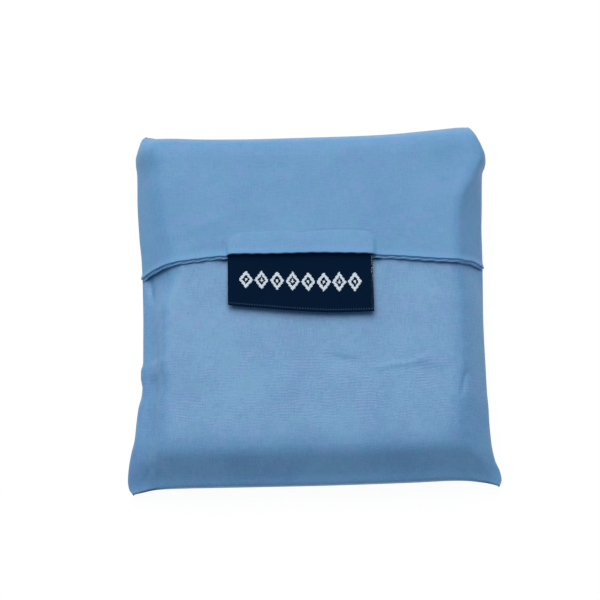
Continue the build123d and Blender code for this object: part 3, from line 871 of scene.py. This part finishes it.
# the hood sinks by a little step at the ends' upper edge, and comes back slowly below it
sunk = soft_step(-past, -0.35, 0.2) * np.clip(1 + past / 2.6, 0, 1) ** 1.5 * upward
relief -= patch_step * sunk * (0.55 + 0.45 * soft_step(x, -8, -2)) * tight
# both plies' edges inside the seam lift it, it rolls over there, and the stitches pucker it
relief += ((seam_ridge + 0.22 * patch) * np.exp(-((above / 1.2) ** 2))
           - seam_roll * np.clip(1 - above / 0.2, 0, 1) ** 2)
puckered = pucker * (1 + np.cos(2 * pi * x / stitch_pitch))
relief -= puckered * np.exp(-((above / 0.8) ** 2)) * (1 - patch)
hood = hood + hood_out * relief[..., None]
hood_out = facing(hood)
hood_cut = np.stack([lengths(hood, 1), lengths(hood, 0)], axis=2)
hood_cut[..., 0] -= hood_cut[:, column_count // 2, 0][:, None]

# the facing's rolled edge, which shows as a narrow strip below the seam
strip_width = 0.78
strip_round = 0.24
strip_reach = strip_width - strip_round
facing_band = 10.5  # how far the facing goes up behind the hood
strip_depth, label_over, tail_room = 0.12, 0.5, 0.85  # it lies in by these: alone, and at the label
rope = 0.16
behind_hood, below_hood, up_facing = 4, 4, 13  # rows of each stretch of it
turn = np.linspace(0, pi, 10)
below = np.concatenate([
    np.linspace(-2.6, 0, behind_hood + 1)[:-1], np.linspace(0, strip_reach, below_hood + 1)[:-1],
    strip_reach + strip_round * np.sin(turn),
    np.linspace(strip_reach, -facing_band, up_facing + 1)[1:],
])
deep = np.concatenate([np.zeros(behind_hood + below_hood), strip_round * (1 - np.cos(turn)),
                       np.full(up_facing, 2 * strip_round)])
below, deep = below[:, None], deep[:, None]
strip_up = seam_up - below
strip, tight = hood_surface(strip_up)
down = hood_surface(strip_up - 0.05)[0] - hood_surface(strip_up + 0.05)[0]
strip_out = unit(np.cross(down, np.gradient(strip, axis=1)))
x, y = strip[..., 0], strip[..., 1]
depth = hood_relief(x, y, -below, tight) - strip_depth + 0.07 * soft_step(x, 21, 27)
depth -= label_over * (1 - soft_step(past_patch(x, y)[0], -0.5, 0.4))
# behind the hood, the facing passes under the label's ends
first_behind = behind_hood + below_hood + len(turn)
behind = (np.arange(len(below)) >= first_behind)[:, None] * soft_step(-below, 0, 1.2)
under_tail = soft_step(x, -30, -27.4) * (1 - soft_step(x, 20.4, 23))
depth -= tail_room * behind * under_tail * (1 - soft_step(y, 23.5, 25.5))
# turning it has twisted the strip a little: it is roped, once to each stitch
depth += rope * np.sin(2 * pi * (x / stitch_pitch + below / 1.3)) * soft_step(below, 0, 0.2)
strip = strip + strip_out * (depth - deep)[..., None]

wing_ends = {-1: 0.0277, 1: 0.026}  # inside these it lifts as one
# the columns where the middle begins and ends, just inside them
left_cut = int(np.argmax(hood[:, :, 0].min(axis=0) > 0.1 - 1000 * wing_ends[-1]))
right_cut = int(np.argmax(hood[:, :, 0].max(axis=0) > 1000 * wing_ends[1] - 0.4)) - 1
hood_parts = (
    ("left", 0, left_cut + 1, "right", -1),
    ("middle", left_cut, right_cut + 1, "left right", 0),
    ("right", right_cut, column_count, "left", 1),
)


def hold_wing(piece, side):
    """Attaches the hood's middle to the hood's body; a wing is baked in place, where its side seam
    holds it.
    """
    if side:
        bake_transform(piece)
    else:
        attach(piece, "hood")


for part, first, last, joined, side in hood_parts:
    name = "hood_middle" if side == 0 else f"hood_{part}_wing"
    made = sheet_of_cloth(name, hood[:, first:last], hood_cloth, pouch_cloth,
                          hood_out[:, first:last], hood_cut[:, first:last], joined)
    edge = sheet_of_cloth(f"hood_edge_{part}", strip[:, first:last], hood_cloth, pouch_cloth,
                          joined=joined)
    for piece in (made, edge):
        hold_wing(piece, side)
    if side == 0:
        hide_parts("pouch_hood")
        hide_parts("hood_hem")

# ---------------------------------------------------------------------------
# The hood's stitches: one row of lockstitches in matching thread that joins both plies. They
# lie deep in the seam, between the hood's turned edge and the strip of its facing.
# ---------------------------------------------------------------------------
stitch_depth, stitch_below = 0.17, 0.06
seam_columns = len(tuck_angles) + 3  # the row ends this many columns short of the side seams
for part, first, last, joined, side in hood_parts:
    line = hood[-1, first:last] - hood_out[-1, first:last] * stitch_depth
    line[:, 1] -= stitch_below
    if side < 0:
        line = line[seam_columns:]
    if side > 0:
        line = line[:-seam_columns]
    made = stitches(f"hood_stitches_{part}", line, stitch_pitch, stitch_length=3.1, thread_width=0.2)
    hold_wing(made, side)
    if side == 0:
        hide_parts("hood_hem_stitching")

# ---------------------------------------------------------------------------
# The woven label: a navy damask ribbon, folded in half. Its two ends are sewn into the hood's
# seam, and its loop hangs free over the pocket with a small woven ornament in white.
# ---------------------------------------------------------------------------
ribbon = 0.25
label_low, label_high = corners("woven_label")
tail_top = corners("label_tail")[1][1]
ribbon_left, ribbon_right = label_low[0] + 0.6, label_high[0] - 0.1
ribbon_width = ribbon_right - ribbon_left
ribbon_middle = (ribbon_left + ribbon_right) / 2
ribbon_end = ((-27, -0.65), (-23, -1.15), (-12.6, -2.3), (-3, -3.3), (8.5, -3.95), (19.2, -3.9))
stands_up = 1.2  # the loop stands up this much at its fold, stiff as it is
ply_gap = 0.34  # between the two plies' middles
ribbon_rows = 60  # from the sewn ends to the fold
ribbon_columns = np.linspace(ribbon_left, ribbon_right, 70)
ribbon_y = through(ribbon_end, ribbon_columns)
fold_reach = ply_gap / 2 + ribbon / 2
tail_start = tail_top - 1.6  # a little below the solid's end
comes_free = 15.2  # it lies free below this


def ribbon_place(share, height):
    """A row of the ribbon: a share of the way down from its sewn ends, at a height."""
    y = tail_start + (ribbon_y + fold_reach - tail_start) * share
    x = ribbon_middle + (ribbon_columns - ribbon_middle) * (1 + 0.012 * share)
    free = np.clip((comes_free - y) / (comes_free - ribbon_y), 0, 1)
    lift = 0.75 + stands_up * free**1.35 + 0.12 * free * ripple(x, y, 11, 41)
    # it lies lower where the plies come together above its ends
    lift = lift - 0.65 * soft_step(y, 17, 22) - 0.3 * (x / crown_reach) ** 2
    return np.stack([x, y, height + lift], axis=1)


upper_z = label_high[2] - 0.02
lower_z = upper_z - ply_gap - ribbon
grid = [ribbon_place(share, upper_z) for share in np.linspace(0, 1, ribbon_rows)]
turn = ribbon_place(1.0, (upper_z + lower_z) / 2)
for angle in np.linspace(pi / 2, -pi / 2, 11)[1:-1]:
    row = turn.copy()
    row[:, 1] -= fold_reach * np.cos(angle)
    row[:, 2] += (upper_z - lower_z) / 2 * np.sin(angle)
    grid.append(row)
grid += [ribbon_place(share, lower_z) for share in np.linspace(1, 0, ribbon_rows)]
ribbon_grid = np.array(grid)

# Damask-woven polyester satin ribbon: navy warp, white brocading weft. Fine slanting twill
# lines, white floats with stepped edges, and a few cut white ends along the selvedge.
navy, navy_light = "#04162d", "#082340"
pick = 0.36  # mm; the ground's threads are 0.1 mm apart, drawn coarser so that they show
lozenge_pitch = 4.9
lozenges = 8
lozenge_half, lozenge_reach = 2.25, 3.3  # half a lozenge across and along the ribbon
row_middle = 15.4  # mm down the ribbon to the middle of the ornament
ribbon_run = lengths(ribbon_grid, 0)[:, len(ribbon_columns) // 2]
# mm down the ribbon to its fold
fold_at = (ribbon_run[ribbon_rows - 1] + ribbon_run[-ribbon_rows]) / 2
damask, tree = new_material("damask_woven_ribbon")
cut = add(tree, "UVMap", uv_map="cut")
stepped = add(tree, "VectorMath", (cut, (pick, pick, pick)), operation="SNAP")
coarse = add(tree, "SeparateXYZ", (stepped,)).outputs
fine = add(tree, "SeparateXYZ", (cut,)).outputs
ends_noise = add(tree, "TexNoise", {"Vector": cut, "Scale": 2.2, "Detail": 1.0})
frayed = add(tree, "MapRange", {"Value": fine["Y"], "From Min": 11.0, "From Max": 17.0,
                                "To Min": 0.45, "To Max": 0.04})
slant = add(tree, "TexWave", {"Vector": cut, "Scale": wave_repeat / (1.4 * pick)},
            bands_direction="DIAGONAL").outputs["Fac"]
satin = add(tree, "TexWave", {"Vector": cut, "Scale": wave_repeat / pick},
            bands_direction="Y").outputs["Fac"]
lint = add(tree, "TexNoise", {"Vector": cut, "Scale": 3.0, "Detail": 2.0})
# the ribbon's layout: each step has a name, and works on values, sockets or earlier steps
steps = {}
for name, operation, *values in (
    ("across", "ADD", coarse["X"], 50 * lozenge_pitch - ribbon_width / 2 - lozenge_pitch / 2),
    ("repeat", "PINGPONG", "across", lozenge_pitch / 2),
    ("off row", "SUBTRACT", coarse["Y"], row_middle),
    ("from row", "ABSOLUTE", "off row"),
    ("share across", "DIVIDE", "repeat", lozenge_half),
    ("share along", "DIVIDE", "from row", lozenge_reach),
    ("lozenge", "ADD", "share across", "share along"),
    ("inside", "LESS_THAN", "lozenge", 1.0),
    ("outside", "GREATER_THAN", "lozenge", 0.55),
    ("outline", "MULTIPLY", "inside", "outside"),
    ("heart", "LESS_THAN", "lozenge", 0.22),
    ("off centre", "SUBTRACT", fine["X"], ribbon_width / 2),
    ("from centre", "ABSOLUTE", "off centre"),
    ("within", "LESS_THAN", "from centre", lozenges / 2 * lozenge_pitch),
    ("woven", "MAXIMUM", "outline", "heart"),
    ("ornament", "MULTIPLY", "woven", "within"),
    # cut white ends along the right selvedge
    ("selvedge", "GREATER_THAN", fine["X"], ribbon_width - 0.13),
    ("some ends", "GREATER_THAN", ends_noise, 0.55),
    ("cut ends", "MULTIPLY", "selvedge", "some ends"),
    ("frayed ends", "MULTIPLY", "cut ends", frayed),
    ("white", "MAXIMUM", "ornament", "frayed ends"),
    # a fine line of lighter picks just above the fold
    ("off fold", "SUBTRACT", fine["Y"], fold_at - 1.0),
    ("from fold", "ABSOLUTE", "off fold"),
    ("near fold", "LESS_THAN", "from fold", 0.18),
    ("picks", "PINGPONG", fine["X"], 0.4),
    ("some picks", "GREATER_THAN", "picks", 0.22),
    ("fold line", "MULTIPLY", "near fold", "some picks"),
    ("ground", "MULTIPLY", slant, lint),
    ("floats", "MULTIPLY", "white", 1.5),
    ("threads", "ADD", slant, satin),
    ("height", "ADD", "floats", "threads"),
):
    values = [steps.get(value, value) for value in values]
    steps[name] = add(tree, "Math", values, operation=operation)
ground = add(tree, "Mix", {0: steps["ground"], 6: linear(navy), 7: linear(navy_light)},
             data_type="RGBA")
ground = add(tree, "Mix", {0: steps["fold line"], 6: ground, 7: linear("#2c4866")}, data_type="RGBA")
floats = add(tree, "Mix", {0: satin, 6: linear("#b9c9da"), 7: linear("#e6eef6")}, data_type="RGBA")
colour = add(tree, "Mix", {0: steps["white"], 6: ground, 7: floats}, data_type="RGBA")
bump = add(tree, "Bump", {"Height": steps["height"], "Distance": 0.00004, "Strength": 0.8})
rough = add(tree, "MapRange", {"Value": lint, "To Min": 0.6, "To Max": 0.8})
shader = add(tree, "BsdfPrincipled", {"Base Color": colour, "Roughness": rough,
                                      "Normal": bump, "Specular IOR Level": 0.015})
add(tree, "OutputMaterial", {"Surface": shader})

ribbon_cut = np.stack([lengths(ribbon_grid, 1),
                       np.repeat(ribbon_run[:, None], len(ribbon_columns), axis=1)], axis=2)
made = sheet_of_cloth("woven_ribbon_label", ribbon_grid, ribbon, damask, cut=ribbon_cut)
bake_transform(made)
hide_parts("label_tail", "woven_label")

# ---------------------------------------------------------------------------
# The setting: a plain pale floor, soft light from above and a little behind, and the camera
# above the lower edge. The floor shows white and keeps a faint shadow.
# ---------------------------------------------------------------------------
floor_mesh = bpy.data.meshes.new("floor")
floor_mesh.from_pydata([(-3, -3, 0), (3, -3, 0), (3, 3, 0), (-3, 3, 0)], [], [(0, 1, 2, 3)])
floor = place_object("floor", floor_mesh)
board_shows = 0.06  # share of the board's own shading, with its shadow, in what the camera sees
floor_material, tree = new_material("matt_white_board")
rays = add(tree, "LightPath").outputs
seen = add(tree, "Math", (rays["Is Camera Ray"], rays["Is Glossy Ray"]), operation="MAXIMUM")
seen = add(tree, "Math", (seen, rays["Is Transmission Ray"]), operation="MAXIMUM")
share = add(tree, "Math", (seen, 1 - board_shows), operation="MULTIPLY")
board = add(tree, "BsdfDiffuse", {"Color": linear("#f4f4f4")})
glow = add(tree, "Emission", {"Color": (1, 1, 1, 1), "Strength": 1.02})
surface = add(tree, "MixShader", (share, board, glow))
add(tree, "OutputMaterial", {"Surface": surface})
floor_mesh.materials.append(floor_material)

world = bpy.data.worlds.new("soft_white_surroundings")
bpy.context.scene.world = world
world.use_nodes = True
tree = world.node_tree
tree.nodes.clear()
rays = add(tree, "LightPath").outputs
seen = add(tree, "Math", (rays["Is Camera Ray"], rays["Is Transmission Ray"]), operation="MAXIMUM")
level = add(tree, "MapRange", {"Value": seen, "To Min": 0.27, "To Max": 1.0})
tint = add(tree, "Mix", {0: seen, 6: (0.74, 0.92, 1.12, 1), 7: (1, 1, 1, 1)}, data_type="RGBA")
sky = add(tree, "Background", (tint, level))
add(tree, "OutputWorld", {"Surface": sky})

lamp = bpy.data.lights.new("softbox_above", "AREA")
lamp.shape, lamp.size, lamp.energy = "SQUARE", 1.7, 26.0
lamp.color = 1.0, 0.945, 0.87
lamp_holder = place_object("softbox_above", lamp)
lamp_holder.location = -0.18, 0.80, 1.26
lamp_way = Vector((0, 0, 0.01)) - lamp_holder.location
lamp_holder.rotation_euler = lamp_way.to_track_quat("-Z", "Y").to_euler()

camera = bpy.data.cameras.new("camera")
camera_holder = place_object("camera", camera)
bpy.context.scene.camera = camera_holder
distance, view_width, sensor_width = 1.6, 0.19, 36
camera.lens = sensor_width * distance / view_width
camera.clip_start = 0.05
elevation, roll = radians(72), radians(-1.3)
aim = Vector((-0.00405, 0.0039, 0.009))
back_way = Vector((0, -np.cos(elevation), np.sin(elevation)))
rolled = Matrix.Rotation(roll, 3, "Z")
camera_holder.rotation_euler = (back_way.to_track_quat("Z", "Y").to_matrix() @ rolled).to_euler()
camera_holder.location = aim + back_way * distance

bpy.context.scene.view_settings.view_transform = "Standard"
